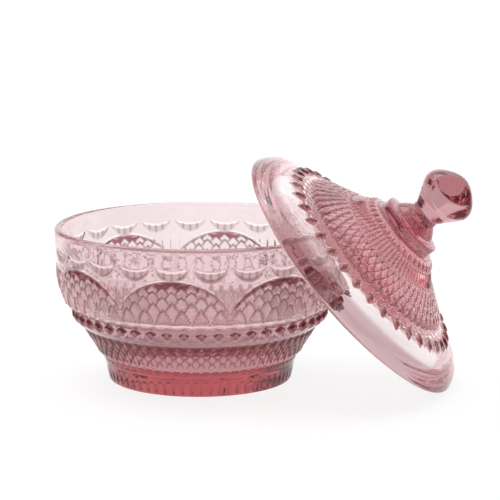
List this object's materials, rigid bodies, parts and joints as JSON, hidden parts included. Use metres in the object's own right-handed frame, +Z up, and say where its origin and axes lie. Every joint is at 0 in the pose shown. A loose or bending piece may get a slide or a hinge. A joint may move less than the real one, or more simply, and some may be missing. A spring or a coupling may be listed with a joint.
{
  "type": "covered candy dish",
  "caption": "Footed pressed-glass candy bowl with a domed, knobbed glass lid that leans against the bowl's rim.",
  "frame": {"origin": "middle of the bowl's flat foot, on the surface that the dish stands on", "axes": "+Z up along the bowl's axis; +X from the bowl towards the lid, which leans along +X; +Y completes a right-handed frame"},
  "size_m": [0.2161, 0.1522, 0.1159],
  "materials": {
    "bowl_glass": "clear dusty rose glass, fire polished",
    "lid_glass": "clear dusty rose glass, fire polished"
  },
  "bodies": {
    "bowl": {"bowl": "bowl_glass"},
    "lid": {"lid": "lid_glass"}
  },
  "joints": [
    {"name": "lid_lift", "type": "slide", "parent": "bowl", "child": "lid", "axis": [0.7518, 0, 0.6594], "range_m": [0, 0.12]}
  ]
}
